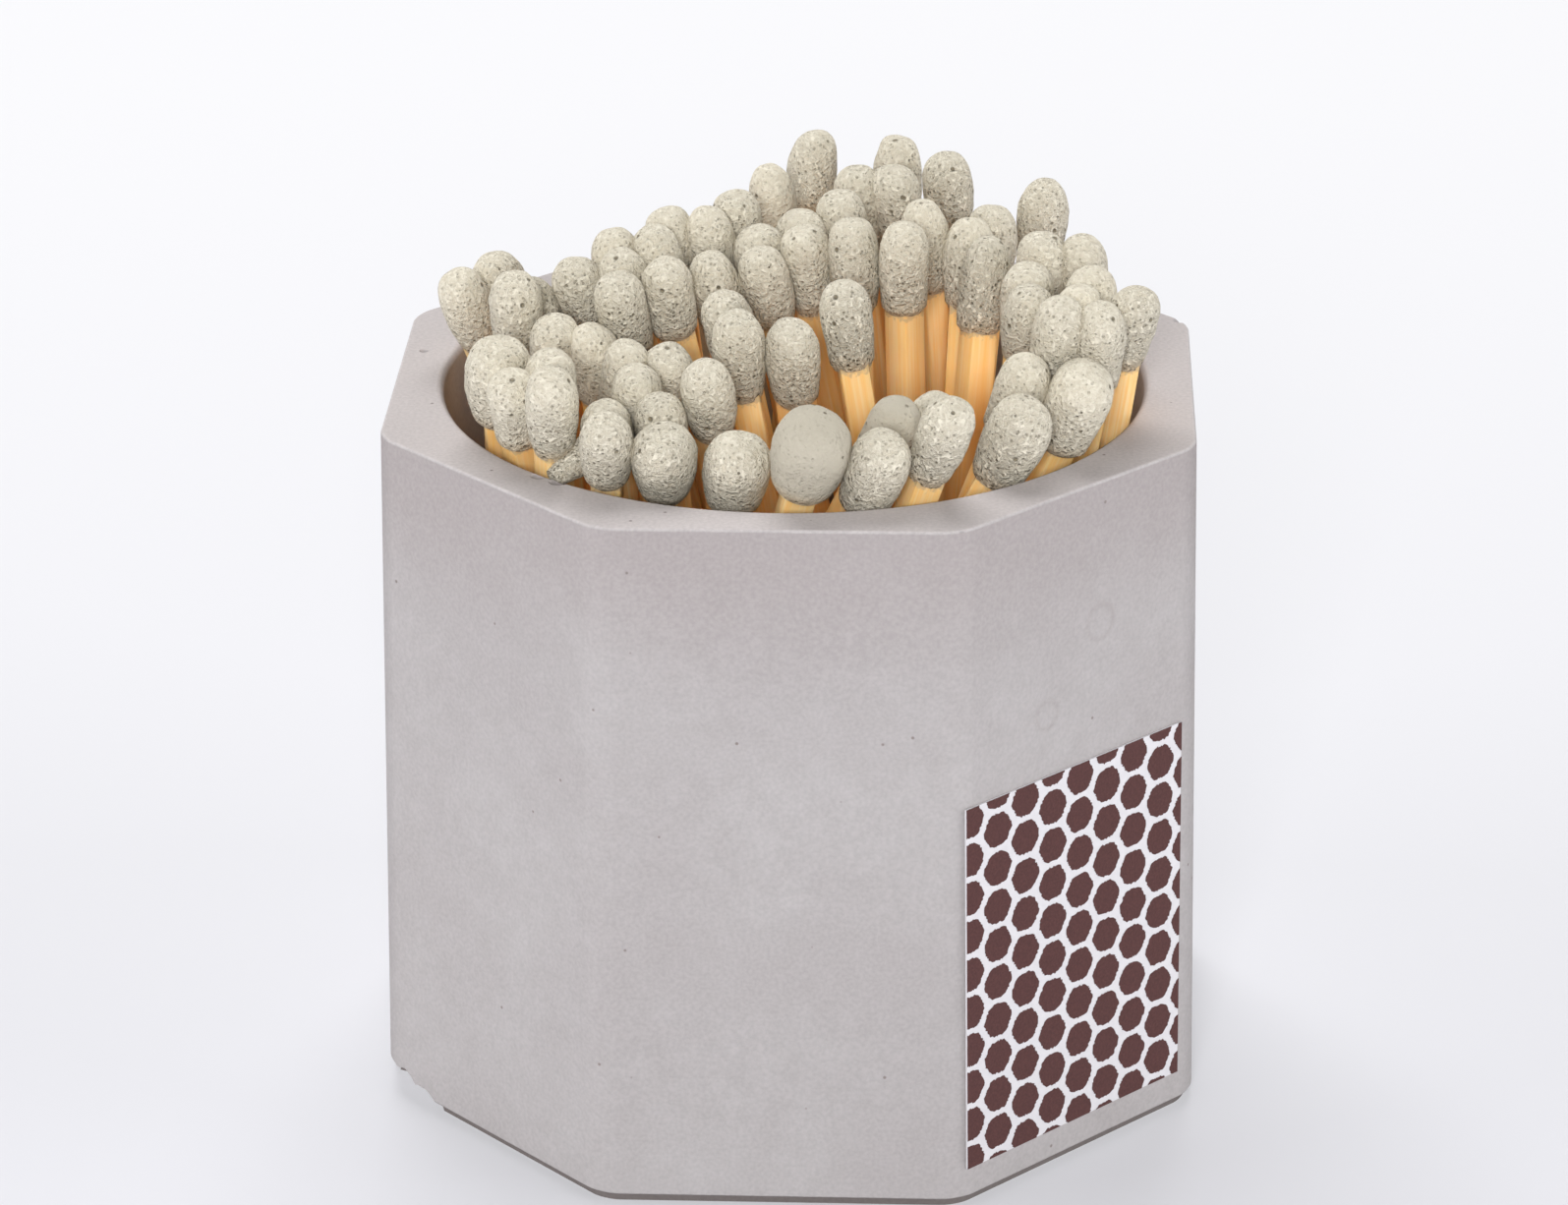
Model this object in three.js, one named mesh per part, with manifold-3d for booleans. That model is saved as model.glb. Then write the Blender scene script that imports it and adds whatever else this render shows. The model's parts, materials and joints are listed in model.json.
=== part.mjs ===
// A cast eight-sided pot that holds wooden matches, with a striking patch stuck on one corner facet.
// Millimetres, +Z up. The origin is on the bench under the middle of the pot, and the front looks along -Y.

import * as THREE from 'three';
import { mergeVertices } from 'three/addons/utils/BufferGeometryUtils.js';
import Module from 'manifold-3d';

const wasm = await Module();
wasm.setup();

// Pot
const potHeight = 45.8;
const potRimWidth = 51; // across the flats, at the rim
const potBaseWidth = 52.6; // across the flats, at the bench
const squareFacetWidth = 22; // the facets that look front, back, left and right, at the rim
const arrisRadius = 2.6; // between two neighbouring facets
const potEdge = 0.5; // softened outer edge at the rim and at the bench
const boreRadius = 22.4;
const floorThickness = 5.8;
const floorFillet = 1;
const mouthEdge = 0.4; // softened inner edge at the rim
const boreSides = 48;

// Striking patch, on the facet between the front and the right
const patchWidth = 19;
const patchHeight = 25.4;
const patchThickness = 0.25;
const patchGlueGap = 0.15;
const patchRise = 2.1; // from the bench to the lower edge
const patchInset = 0.55; // from the facet's front corner to the near edge

// Matches
const matchLength = 49.5;
const stickWidth = 2.1;
const stickChamfer = 0.5;
const headLength = 5.8;
const headRadius = 1.5;
const headSides = 8;
// Points up a head, as shares of its length and of its radius
const headOutline = [[0, 0.8], [0.2, 0.93], [0.5, 1], [0.76, 0.92], [0.93, 0.58]];
const twinSpacing = 2.6; // between the sticks of two matches whose heads dried together
const matchGap = 0.15; // kept between matches, and between a match and the pot
const stickSpare = 0.18; // kept round each stick besides, where it passes another match
const pullTravel = 46; // how far a match slides out along its own line

// Materials: colour and finish
const concreteLook = { color: '#c2bcbb', roughness: 0.9, metalness: 0 };
const printedPaperLook = { color: '#63403d', roughness: 0.85, metalness: 0 };
const aspenLook = { color: '#e8c48c', roughness: 0.7, metalness: 0 };

// How the matches stand, in sheaves that lean one way. The lean is the run from foot to head, across and
// back. A head's place is across and up from the middle of the rim, as it shows to an eye in front of the
// pot that looks down by sightTilt degrees. A third number is the head's radius, where it is a fat one.
// A twin also has the way from its first head to its second, as it shows, in degrees from level.
const sightTilt = 23.4;
const sheaves = [
  { lean: [1, -23], heads: [[-7.5, -6, 1.85], [-2.5, -7, 1.85], [2, -7, 2.15], [5.5, -7.5, 1.7]] },
  { lean: [-13, -22], heads: [[-17, -4, 1.8], [-11, -6]] },
  { lean: [15, -14], heads: [
    [9.5, -7], [6, -4.5], [9.5, -2.5], [14.5, -5, 1.85], [17.5, -2.5, 1.8], [15.5, -1.5]] },
  { lean: [23, -7], heads: [[17.5, 1.5], [18.5, 2.5], [15.5, 2.5], [14.5, 4.5]] },
  { lean: [-7, -18], heads: [[-14, -3], [-11.5, -4], [-5, -2]],
    twins: [[-17.5, -2.5, 47], [-9.5, -2.5, -58], [-13, 1, -15], [-7.5, 1, 0]] },
  { lean: [-14, 14], heads: [[-17, 4], [-4, 9.5]], twins: [[-13, 5, 0], [-10, 6, 0], [-6.5, 7.5, 0]] },
  { lean: [-18, -6], heads: [
    [-22, 4.5], [-19, 5.5], [-11, 3], [-8.5, 4.5], [-5, 5.5], [-1.5, 6.5], [-1.5, 8.5]] },
  { lean: [-28, 1], heads: [[-15.5, 3.5]] },
  { lean: [-21, -19], heads: [[-1.5, 3.5], [-4, 2.5], [-3.5, -0.5], [0, 0.5]] },
  { lean: [15, -11], heads: [[21.5, 2.5]], twins: [[18, 3.5, 0]] },
  { lean: [10, 15], heads: [[13, 6.5]], twins: [[17, 6.5, 0]] },
  { lean: [-5, 2], heads: [[-2, 12], [0, 10.5], [0.5, 14]] },
  { lean: [4, 5], heads: [[15, 11], [12.5, 8.5], [11, 8], [9.5, 13], [6, 14], [3, 9.5]],
    twins: [[5, 11.5, -17]] },
  { lean: [-4, 0], heads: [[8.5, 9], [3, 7], [6.5, 7.5], [4, 4]] },
];

// Settling: how the matches find places where each one is clear of the rest
const holdRounds = 1200; // while the heads are still drawn to their places
const mostRounds = 4000;
const holdPull = 0.1;
const headYield = 0.12; // how readily a head gives way, where a foot gives way by 1
const clashLeft = 0.01; // a clash that is small enough to stop at

const stickCorner = Math.hypot(stickWidth / 2, stickWidth / 2 - stickChamfer);
const stickRoom = stickCorner + stickSpare;
const headMiddle = (matchLength - headLength / 2) / matchLength; // shares of the way from foot to tip
const headStart = (matchLength - headLength) / matchLength;
const pullShare = pullTravel / matchLength;
const sightSin = Math.sin(THREE.MathUtils.degToRad(sightTilt));
const sightCos = Math.cos(THREE.MathUtils.degToRad(sightTilt));
const across = new THREE.Vector3(1, 0, 0);
const seenUp = new THREE.Vector3(0, sightSin, sightCos);

// A closed geometry as a solid that can be cut and joined, and back again
function solidFrom(geometry) {
  const bare = new THREE.BufferGeometry();
  bare.setAttribute('position', geometry.getAttribute('position').clone());
  if (geometry.index) bare.setIndex(geometry.index.clone());
  const merged = mergeVertices(bare);
  const vertProperties = new Float32Array(merged.getAttribute('position').array);
  const triVerts = new Uint32Array(merged.index.array);
  return new wasm.Manifold(new wasm.Mesh({ numProp: 3, vertProperties, triVerts }));
}

function geometryFrom(solid) {
  const mesh = solid.getMesh();
  const geometry = new THREE.BufferGeometry();
  geometry.setAttribute('position', new THREE.BufferAttribute(mesh.vertProperties, 3));
  geometry.setIndex(new THREE.BufferAttribute(mesh.triVerts, 1));
  geometry.computeVertexNormals();
  return geometry;
}

function namedMesh(name, geometry, look) {
  const mesh = new THREE.Mesh(geometry, new THREE.MeshStandardMaterial(look));
  mesh.name = name;
  return mesh;
}

// The pot: an eight-sided casting with drafted sides and a round bore
function facetDistance(facet) {
  const diagonal = (potRimWidth + squareFacetWidth) / 2 / Math.SQRT2;
  return facet % 2 === 0 ? potRimWidth / 2 : diagonal;
}

function octagonShape() {
  const shape = new THREE.Shape();
  const turn = Math.PI / 4;
  for (let facet = 0; facet < 8; facet++) {
    const angle = facet * turn;
    const near = facetDistance(facet) - arrisRadius;
    const next = facetDistance(facet + 1) - arrisRadius;
    const along = (next - near * Math.cos(turn)) / Math.sin(turn);
    const x = near * Math.cos(angle) - along * Math.sin(angle);
    const y = near * Math.sin(angle) + along * Math.cos(angle);
    shape.absarc(x, y, arrisRadius, angle, angle + turn, false);
  }
  return shape;
}

function potGeometry() {
  const body = new THREE.ExtrudeGeometry(octagonShape(), {
    depth: potHeight - 2 * potEdge,
    bevelThickness: potEdge,
    bevelSize: potEdge,
    bevelOffset: -potEdge,
    bevelSegments: 2,
    curveSegments: 4,
  });
  body.translate(0, 0, potEdge);
  const place = body.getAttribute('position');
  for (let k = 0; k < place.count; k++) {
    const width = THREE.MathUtils.lerp(potBaseWidth, potRimWidth, place.getZ(k) / potHeight);
    const grow = width / potRimWidth;
    place.setXY(k, place.getX(k) * grow, place.getY(k) * grow);
  }
  const fillet = new THREE.EllipseCurve(
    boreRadius - floorFillet, floorThickness + floorFillet, floorFillet, floorFillet, -Math.PI / 2, 0);
  const above = potHeight + mouthEdge;
  const outline = [
    new THREE.Vector2(0, floorThickness),
    ...fillet.getPoints(3),
    new THREE.Vector2(boreRadius, potHeight - mouthEdge),
    new THREE.Vector2(boreRadius + 2 * mouthEdge, above),
    new THREE.Vector2(0, above),
  ];
  const bore = new THREE.LatheGeometry(outline, boreSides).rotateX(Math.PI / 2);
  return geometryFrom(solidFrom(body).subtract(solidFrom(bore)));
}

// The striking patch: a flat label, just off its facet and leaning with the facet's draft
function strikingPatch() {
  const label = new THREE.BoxGeometry(patchWidth, patchThickness, patchHeight);
  label.translate(0, patchThickness / 2 + patchGlueGap, patchHeight / 2);
  const patch = namedMesh('striking_patch', label, printedPaperLook);
  const growAtBase = potBaseWidth / potRimWidth;
  const baseDistance = facetDistance(1) * growAtBase;
  const slope = Math.atan((baseDistance - facetDistance(1)) / potHeight);
  const facetWidth = (potRimWidth - squareFacetWidth) / Math.SQRT2 * growAtBase;
  patch.position.set((facetWidth - patchWidth) / 2 - patchInset, 0, patchRise / Math.cos(slope));
  const lean = new THREE.Group();
  lean.position.set(0, baseDistance, 0);
  lean.rotation.x = slope;
  lean.add(patch);
  const facet = new THREE.Group();
  facet.rotation.z = -Math.PI * 3 / 4;
  facet.add(lean);
  return facet;
}

// A match stands on the bore's floor: its line runs from its foot to its tip
function newMatch(lean, place, radius, turn) {
  const reach = headMiddle * matchLength;
  const rise = Math.sqrt(reach ** 2 - lean[0] ** 2 - lean[1] ** 2);
  const footHeight = floorThickness + matchGap + stickCorner / 2;
  const headHeight = footHeight + rise;
  const headBack = (place[1] - sightCos * (headHeight - potHeight)) / sightSin;
  const foot = new THREE.Vector3(place[0] - lean[0], headBack - lean[1], footHeight);
  const tip = new THREE.Vector3(lean[0], lean[1], rise).divideScalar(headMiddle).add(foot);
  const match = { foot, tip, place, radius, turn, strands: [new THREE.Vector3()] };
  if (turn !== undefined) match.strands = [new THREE.Vector3(), new THREE.Vector3()];
  return match;
}

function allMatches() {
  const matches = [];
  for (const { lean, heads, twins = [] } of sheaves) {
    for (const [right, rise, radius = headRadius] of heads) {
      matches.push(newMatch(lean, [right, rise], radius));
    }
    for (const [right, rise, turn] of twins) {
      matches.push(newMatch(lean, [right, rise], headRadius, THREE.MathUtils.degToRad(turn)));
    }
  }
  return matches;
}

// The two sticks of a twin lie beside each other, square to their line
function twinSide(match) {
  const axis = match.tip.clone().sub(match.foot).normalize();
  const side = across.clone().multiplyScalar(Math.cos(match.turn));
  side.addScaledVector(seenUp, Math.sin(match.turn));
  return side.addScaledVector(axis, -side.dot(axis)).normalize();
}

function spreadTwin(match) {
  const side = twinSide(match);
  match.strands[0].copy(side).multiplyScalar(-twinSpacing / 2);
  match.strands[1].copy(side).multiplyScalar(twinSpacing / 2);
}

// Stretches of a match's line, from share to share of the way to its tip, each with its radius
const stretches = {
  standing: (match) => [[0, headStart, stickRoom], [headStart, 1, match.radius]],
  sliding: (match) => [[0, headStart, stickRoom], [headStart, 1 + pullShare, match.radius]],
  pulled: (match) => [
    [pullShare, headStart + pullShare, stickRoom], [headStart + pullShare, 1 + pullShare, match.radius]],
};
const meetings = [['sliding', 'standing'], ['standing', 'sliding'], ['pulled', 'pulled']];

// The nearest points of two stretches of lines: their shares s and t, and the way between them
const nearest = { s: 0, t: 0, way: new THREE.Vector3(), distance: 0 };
const first = { start: new THREE.Vector3(), run: new THREE.Vector3() };
const second = { start: new THREE.Vector3(), run: new THREE.Vector3() };
const between = new THREE.Vector3();
const passing = new THREE.Vector3();
const middle = new THREE.Vector3();

function layStretch(line, match, strand, from, to) {
  line.run.subVectors(match.tip, match.foot);
  line.start.copy(match.foot).addScaledVector(line.run, from).add(strand);
  line.run.multiplyScalar(to - from);
}

function findNearest(a, strandA, fromA, toA, b, strandB, fromB, toB) {
  layStretch(first, a, strandA, fromA, toA);
  layStretch(second, b, strandB, fromB, toB);
  between.subVectors(first.start, second.start);
  const runA = first.run.lengthSq();
  const runB = second.run.lengthSq();
  const both = first.run.dot(second.run);
  const offA = first.run.dot(between);
  const offB = second.run.dot(between);
  const cross = runA * runB - both * both;
  const clamp = THREE.MathUtils.clamp;
  let s = cross > 1e-9 ? clamp((both * offB - offA * runB) / cross, 0, 1) : 0.5;
  let t = (both * s + offB) / runB;
  if (t < 0 || t > 1) {
    t = clamp(t, 0, 1);
    s = clamp((both * t - offA) / runA, 0, 1);
  }
  nearest.way.copy(between).addScaledVector(first.run, s).addScaledVector(second.run, -t);
  nearest.distance = nearest.way.length();
  nearest.s = fromA + (toA - fromA) * s;
  nearest.t = fromB + (toB - fromB) * t;
  return nearest.distance;
}

function farReach(a, b) {
  let least = Infinity;
  for (const strandA of a.strands) {
    for (const strandB of b.strands) {
      least = Math.min(least, findNearest(a, strandA, 0, 1 + pullShare, b, strandB, 0, 1 + pullShare));
    }
  }
  return least;
}

// Moves a point of a match's line, by moving its foot and tip
function nudge(match, share, way, amount) {
  match.foot.addScaledVector(way, amount * (1 - share));
  match.tip.addScaledVector(way, amount * share * headYield);
}

function yieldAt(share) {
  return (1 - share) ** 2 + headYield * share ** 2;
}

// Two matches pass each other on the same side at rest and on the way out
function pushApart(a, strandA, b, strandB) {
  findNearest(a, middle, 0, 1 + pullShare, b, middle, 0, 1 + pullShare);
  passing.copy(nearest.way);
  let worst = 0;
  for (const [poseA, poseB] of meetings) {
    for (const [fromA, toA, radiusA] of stretches[poseA](a)) {
      for (const [fromB, toB, radiusB] of stretches[poseB](b)) {
        findNearest(a, strandA, fromA, toA, b, strandB, fromB, toB);
        const { s, t, way, distance } = nearest;
        const crossed = way.dot(passing) < 0 ? -1 : 1;
        const clash = radiusA + radiusB + matchGap - crossed * distance;
        if (clash <= 0 || distance > radiusA + radiusB + matchGap) continue;
        worst = Math.max(worst, clash);
        const amount = crossed * clash / distance / (yieldAt(s) + yieldAt(t));
        nudge(a, s, way, amount);
        nudge(b, t, way, -amount);
      }
    }
  }
  return worst;
}

// Draws a head towards its place as it shows, and leaves it free along the sight
function holdHead(match, pull) {
  const head = match.foot.clone().lerp(match.tip, headMiddle);
  const shows = across.dot(head);
  const showsUp = seenUp.dot(head) - sightCos * potHeight;
  match.tip.addScaledVector(across, (match.place[0] - shows) * pull);
  match.tip.addScaledVector(seenUp, (match.place[1] - showsUp) * pull);
}

function leanOf(match) {
  const run = match.tip.clone().sub(match.foot);
  return { sin: Math.hypot(run.x, run.y) / run.length(), cos: run.z / run.length() };
}

function keepLength(match) {
  const run = match.tip.clone().sub(match.foot);
  const spare = (run.length() - matchLength) / 2 / run.length();
  match.foot.addScaledVector(run, spare);
  match.tip.addScaledVector(run, -spare);
}

// Keeps one point of a match's line within a radius of the pot's middle
function keepWithin(match, strand, share, radius) {
  const point = match.foot.clone().lerp(match.tip, share).add(strand);
  const out = Math.hypot(point.x, point.y);
  if (out <= radius) return 0;
  const inward = new THREE.Vector3(-point.x / out, -point.y / out, 0);
  nudge(match, share, inward, (out - radius) / yieldAt(share));
  return out - radius;
}

function keepInBore(match) {
  keepLength(match);
  const lean = leanOf(match);
  const lowest = Math.min(...match.strands.map((strand) => strand.z));
  match.foot.z = floorThickness + matchGap + stickCorner * lean.sin - lowest;
  let worst = 0;
  for (const strand of match.strands) {
    const room = boreRadius - matchGap;
    worst = Math.max(worst, keepWithin(match, strand, 0, room - floorFillet - stickCorner));
    const rimShare = (potHeight - match.foot.z) / (match.tip.z - match.foot.z);
    const nearHead = rimShare > headStart - match.radius / matchLength;
    const radius = nearHead ? match.radius : stickCorner;
    worst = Math.max(worst, keepWithin(match, strand, rimShare, room - radius / lean.cos));
  }
  return worst;
}

function settle(matches) {
  const reach = 2 * Math.max(...matches.map((match) => match.radius)) + matchGap;
  const nearRounds = 8;
  let pairs = [];
  let worst = Infinity;
  for (let round = 0; round < mostRounds && (round < holdRounds || worst > clashLeft); round++) {
    const pull = holdPull * Math.max(0, 1 - round / holdRounds);
    for (const match of matches) {
      if (match.turn !== undefined) spreadTwin(match);
      holdHead(match, pull);
    }
    if (round % nearRounds === 0) {
      pairs = matches.flatMap((a, k) => matches.slice(k + 1).map((b) => [a, b]));
      pairs = pairs.filter(([a, b]) => farReach(a, b) < 2 * reach);
    }
    worst = 0;
    for (const [a, b] of pairs) {
      for (const strandA of a.strands) {
        for (const strandB of b.strands) worst = Math.max(worst, pushApart(a, strandA, b, strandB));
      }
    }
    for (const match of matches) {
      keepInBore(match);
      worst = Math.max(worst, keepInBore(match));
    }
  }
  matches.forEach(keepLength);
}

// One match, standing on the origin along +Z: a chamfered stick with a dipped head
function matchSolid(radius) {
  const half = stickWidth / 2;
  const flat = half - stickChamfer;
  const section = new THREE.Shape([
    [half, -flat], [half, flat], [flat, half], [-flat, half],
    [-half, flat], [-half, -flat], [-flat, -half], [flat, -half],
  ].map(([x, y]) => new THREE.Vector2(x, y)));
  const stick = new THREE.ExtrudeGeometry(section, { depth: headMiddle * matchLength, bevelEnabled: false });
  const start = headStart * matchLength;
  const outline = headOutline.map(
    ([along, out]) => new THREE.Vector2(out * radius, start + along * headLength));
  const profile = [new THREE.Vector2(0, start), ...outline, new THREE.Vector2(0, matchLength)];
  const head = new THREE.LatheGeometry(profile, headSides).rotateX(Math.PI / 2);
  return solidFrom(stick).add(solidFrom(head));
}

function matchMesh(name, match, index) {
  const axis = match.tip.clone().sub(match.foot).normalize();
  const goldenTurn = Math.PI * (3 - Math.sqrt(5));
  let side = across.clone().applyAxisAngle(axis, index * goldenTurn);
  if (match.turn !== undefined) side = twinSide(match);
  side.addScaledVector(axis, -side.dot(axis)).normalize();
  const single = matchSolid(match.radius);
  const half = twinSpacing / 2;
  const solid = match.turn === undefined
    ? single
    : single.translate([-half, 0, 0]).add(single.translate([half, 0, 0]));
  const mesh = namedMesh(name, geometryFrom(solid), aspenLook);
  const turned = new THREE.Matrix4().makeBasis(side, axis.clone().cross(side), axis);
  mesh.quaternion.setFromRotationMatrix(turned);
  mesh.position.copy(match.foot);
  return mesh;
}

function matchGroup() {
  const group = new THREE.Group();
  const matches = allMatches();
  settle(matches);
  const counts = { match: 0, twin_match: 0 };
  matches.forEach((match, index) => {
    const kind = match.turn === undefined ? 'match' : 'twin_match';
    counts[kind] += 1;
    group.add(matchMesh(`${kind}_${String(counts[kind]).padStart(2, '0')}`, match, index));
  });
  return group;
}

const holder = new THREE.Group();
holder.add(namedMesh('pot', potGeometry(), concreteLook), strikingPatch(), matchGroup());

export default holder;
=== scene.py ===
"""Dresses the match holder: a cast concrete pot, its striking patch and the matches that stand in it."""

import itertools
import json
import math
import random

import bmesh
import bpy
from bpy.props import FloatProperty, FloatVectorProperty, IntProperty, PointerProperty
from mathutils import Matrix, Vector, noise


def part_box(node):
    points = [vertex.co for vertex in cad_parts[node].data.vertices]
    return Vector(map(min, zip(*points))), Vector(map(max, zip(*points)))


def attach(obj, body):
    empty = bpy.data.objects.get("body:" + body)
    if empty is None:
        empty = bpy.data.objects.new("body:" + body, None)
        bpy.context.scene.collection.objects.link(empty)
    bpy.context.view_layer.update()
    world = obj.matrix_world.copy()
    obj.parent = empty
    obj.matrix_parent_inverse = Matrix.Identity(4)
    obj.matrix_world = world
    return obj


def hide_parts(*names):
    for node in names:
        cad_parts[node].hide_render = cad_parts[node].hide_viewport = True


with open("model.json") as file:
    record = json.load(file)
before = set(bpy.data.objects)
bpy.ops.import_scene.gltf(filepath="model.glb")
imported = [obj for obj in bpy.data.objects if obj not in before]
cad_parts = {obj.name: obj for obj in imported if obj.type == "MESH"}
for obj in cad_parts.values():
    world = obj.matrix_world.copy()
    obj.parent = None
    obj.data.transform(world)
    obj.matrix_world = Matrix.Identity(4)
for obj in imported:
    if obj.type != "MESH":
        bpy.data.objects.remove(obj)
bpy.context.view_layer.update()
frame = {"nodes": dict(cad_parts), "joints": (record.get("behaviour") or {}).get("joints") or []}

bl_info = {
    "name": "Match holder",
    "version": (1, 0, 0),
    "blender": (4, 5, 0),
    "location": "View3D > Sidebar > Match holder",
    "description": "Models an eight-sided concrete match pot with its patch and matches",
    "category": "Object",
}

MM = 0.001
POT_LOW, POT_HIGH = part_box("pot")
WELD = 0.002 * MM  # points nearer than this become one


def linear(colour):
    """Turns an sRGB hex colour such as #c2bcbb into linear RGBA."""
    parts = [int(colour[k:k + 2], 16) / 255 for k in (1, 3, 5)]
    return [c / 12.92 if c <= 0.04045 else ((c + 0.055) / 1.055) ** 2.4 for c in parts] + [1.0]


def add(tree, kind, inputs=None, **settings):
    """Adds a node with its settings, and sets or links its inputs."""
    node = tree.nodes.new(kind)
    for name, value in settings.items():
        setattr(node, name, value)
    for name, value in (inputs or {}).items():
        if isinstance(value, bpy.types.NodeSocket):
            tree.links.new(value, node.inputs[name])
        else:
            node.inputs[name].default_value = value
    return node


def new_material(name):
    """Starts an empty material and returns it with its node tree."""
    material = bpy.data.materials.new(name)
    material.use_nodes = True
    material.node_tree.nodes.clear()
    return material, material.node_tree


def place_in_mm(tree):
    """The place on a piece, in millimetres."""
    place = add(tree, "ShaderNodeTexCoord").outputs["Object"]
    return add(tree, "ShaderNodeMapping", {"Vector": place, "Scale": (1 / MM,) * 3}).outputs["Vector"]


class PotSettings(bpy.types.PropertyGroup):
    """Sizes and colour of the pot."""

    rim_width: FloatProperty(
        name="Rim width", description="Across the flats at the rim", default=51 * MM, unit="LENGTH")
    base_width: FloatProperty(
        name="Base width", description="Across the flats at the bench",
        default=POT_HIGH.x - POT_LOW.x, unit="LENGTH")
    height: FloatProperty(
        name="Height", description="From the bench to the rim", default=POT_HIGH.z, unit="LENGTH")
    facet_width: FloatProperty(
        name="Square facet", description="Width of the front facet at the rim", default=22 * MM,
        unit="LENGTH")
    arris_radius: FloatProperty(
        name="Arris radius", description="Rounding between two facets", default=3 * MM, unit="LENGTH")
    edge_radius: FloatProperty(
        name="Edge radius", description="Softened outer edge of rim and base", default=0.2 * MM,
        unit="LENGTH")
    foot_rise: FloatProperty(
        name="Foot rise", description="The lower edge stands this far off the bench", default=0.6 * MM,
        unit="LENGTH")
    bore_radius: FloatProperty(
        name="Bore radius", description="Inside radius", default=22.4 * MM, unit="LENGTH")
    bore_depth: FloatProperty(
        name="Bore depth", description="From the rim to the bore's floor", default=40 * MM, unit="LENGTH")
    colour: FloatVectorProperty(
        name="Concrete", description="Colour of the cast concrete", default=linear("#b4b0b0"), size=4,
        subtype="COLOR")


class PatchSettings(bpy.types.PropertyGroup):
    """Sizes and colours of the striking patch."""

    width: FloatProperty(name="Width", description="Width of the label", default=19 * MM, unit="LENGTH")
    height: FloatProperty(name="Height", description="Height of the label", default=24.8 * MM, unit="LENGTH")
    rise: FloatProperty(
        name="Rise", description="From the bench to the lower edge", default=2.7 * MM, unit="LENGTH")
    inset: FloatProperty(
        name="Inset", description="From the facet's front corner to the near edge", default=0.55 * MM,
        unit="LENGTH")
    row_pitch: FloatProperty(
        name="Row pitch", description="From dot to dot up a column", default=2.61 * MM, unit="LENGTH")
    column_pitch: FloatProperty(
        name="Column pitch", description="From column to column", default=2.4 * MM, unit="LENGTH")
    dot_width: FloatProperty(
        name="Dot width", description="Across the flats of a dot", default=2.2 * MM, unit="LENGTH")
    compound: FloatVectorProperty(
        name="Compound", description="Colour of the striking compound", default=linear("#4a2826"), size=4,
        subtype="COLOR")
    paper: FloatVectorProperty(
        name="Paper", description="Colour of the label paper", default=linear("#dfdde0"), size=4,
        subtype="COLOR")


class MatchSettings(bpy.types.PropertyGroup):
    """Sizes and colours of the matches."""

    stick_width: FloatProperty(name="Stick", description="Width of a stick", default=2.02 * MM, unit="LENGTH")
    head_length: FloatProperty(name="Head", description="Length of a head", default=5.8 * MM, unit="LENGTH")
    head_swell: FloatProperty(
        name="Head swell", description="Width of a head as a share of the solid one's", default=1.12,
        subtype="FACTOR")
    seed: IntProperty(name="Seed", description="Start of the chance differences between matches", default=7)
    wood: FloatVectorProperty(
        name="Aspen", description="Colour of the sticks", default=linear("#ffe4b4"), size=4, subtype="COLOR")
    dip: FloatVectorProperty(
        name="Dip", description="Colour of the heads", default=linear("#e8e1cf"), size=4, subtype="COLOR")


class StageSettings(bpy.types.PropertyGroup):
    """Where the eye stands, and the light."""

    lens: FloatProperty(
        name="Lens", description="Focal length on a 36 mm sensor, in millimetres", default=125.73)
    distance: FloatProperty(
        name="Distance", description="From the aim point to the eye", default=357.2 * MM, unit="LENGTH")
    elevation: FloatProperty(
        name="Elevation", description="Of the eye above level", default=math.radians(23.37), subtype="ANGLE")
    turn: FloatProperty(
        name="Turn", description="Of the eye round the pot, towards its right", default=math.radians(2.51),
        subtype="ANGLE")
    roll: FloatProperty(
        name="Roll", description="Of the camera", default=math.radians(0.263), subtype="ANGLE")
    aim_across: FloatProperty(
        name="Aim across", description="Aim point, across the view", default=-0.7 * MM, unit="LENGTH")
    aim_height: FloatProperty(
        name="Aim height", description="Aim point above the bench", default=POT_HIGH.z - 15.71 * MM,
        unit="LENGTH")
    sky: FloatProperty(name="Sky", description="Strength of the even light all round", default=0.1)
    front_lamp: FloatProperty(
        name="Front lamp", description="Power of the soft lamp behind the eye", default=5.9, unit="POWER")
    side_lamp: FloatProperty(
        name="Side lamps", description="Power of each soft lamp at the side", default=2.9, unit="POWER")
    top_lamp: FloatProperty(
        name="Top lamp", description="Power of the soft lamp above and behind the pot", default=4,
        unit="POWER")
    floor: FloatVectorProperty(
        name="Floor", description="Colour of the floor", default=linear("#d8d8df"), size=4, subtype="COLOR")


def settings(kind):
    """The scene's settings of one kind."""
    return getattr(bpy.context.scene, "match_holder_" + kind)


def finish_piece(name, bm, materials, sharp_angle):
    """Makes an object of a finished bmesh, with faces smooth up to an angle."""
    mesh = bpy.data.meshes.new(name)
    for face in bm.faces:
        face.smooth = True
    bm.to_mesh(mesh)
    bm.free()
    for material in materials:
        mesh.materials.append(material)
    mesh.set_sharp_from_angle(angle=sharp_angle)
    piece = bpy.data.objects.new(name, mesh)
    bpy.context.scene.collection.objects.link(piece)
    return piece


def join(whole, part):
    """Adds a finished bmesh to another and frees it."""
    mesh = bpy.data.meshes.new("part")
    part.to_mesh(mesh)
    part.free()
    whole.from_mesh(mesh)
    bpy.data.meshes.remove(mesh)


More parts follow.
